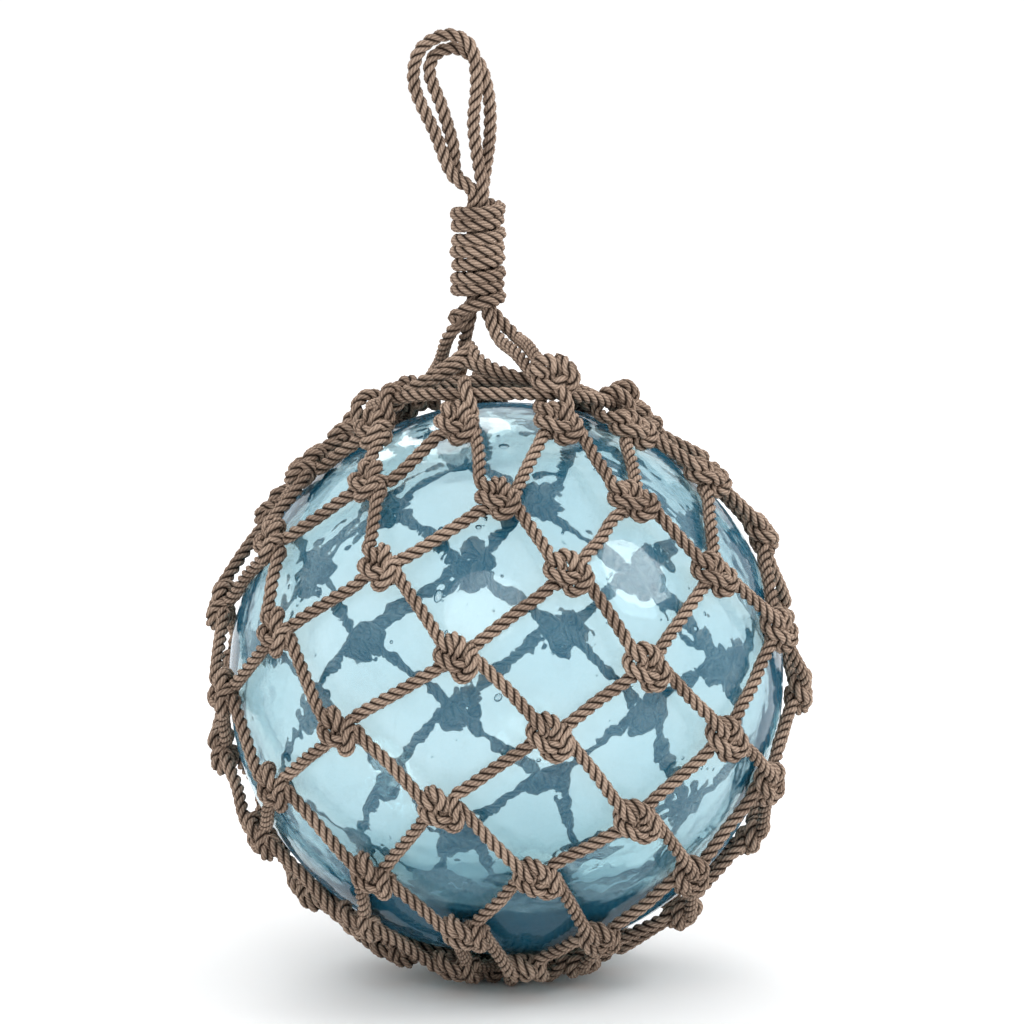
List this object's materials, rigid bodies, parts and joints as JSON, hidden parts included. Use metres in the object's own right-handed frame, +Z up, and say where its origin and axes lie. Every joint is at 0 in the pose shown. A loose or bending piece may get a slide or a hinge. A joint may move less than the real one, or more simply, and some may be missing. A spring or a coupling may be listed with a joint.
{
  "type": "netted glass float ball",
  "caption": "Clear aqua glass float ball inside a knotted diamond rope net, with a bound neck and a doubled rope loop above to hang it by.",
  "frame": {"origin": "centre of the flat foot ring under the ball, on the surface that the float stands on", "axes": "+Z up through the ball's centre, -Y towards the front of the net, +X to the right seen from the front"},
  "size_m": [0.3306, 0.33, 0.5147],
  "materials": {
    "glass": "clear pale aqua blown glass with small bubbles",
    "rope": "brown three-strand laid rope, matt"
  },
  "bodies": {
    "root": {"glass_ball": "glass", "rope_net": "rope", "hanging_rope": "rope", "neck_whipping": "rope"}
  },
  "joints": []
}
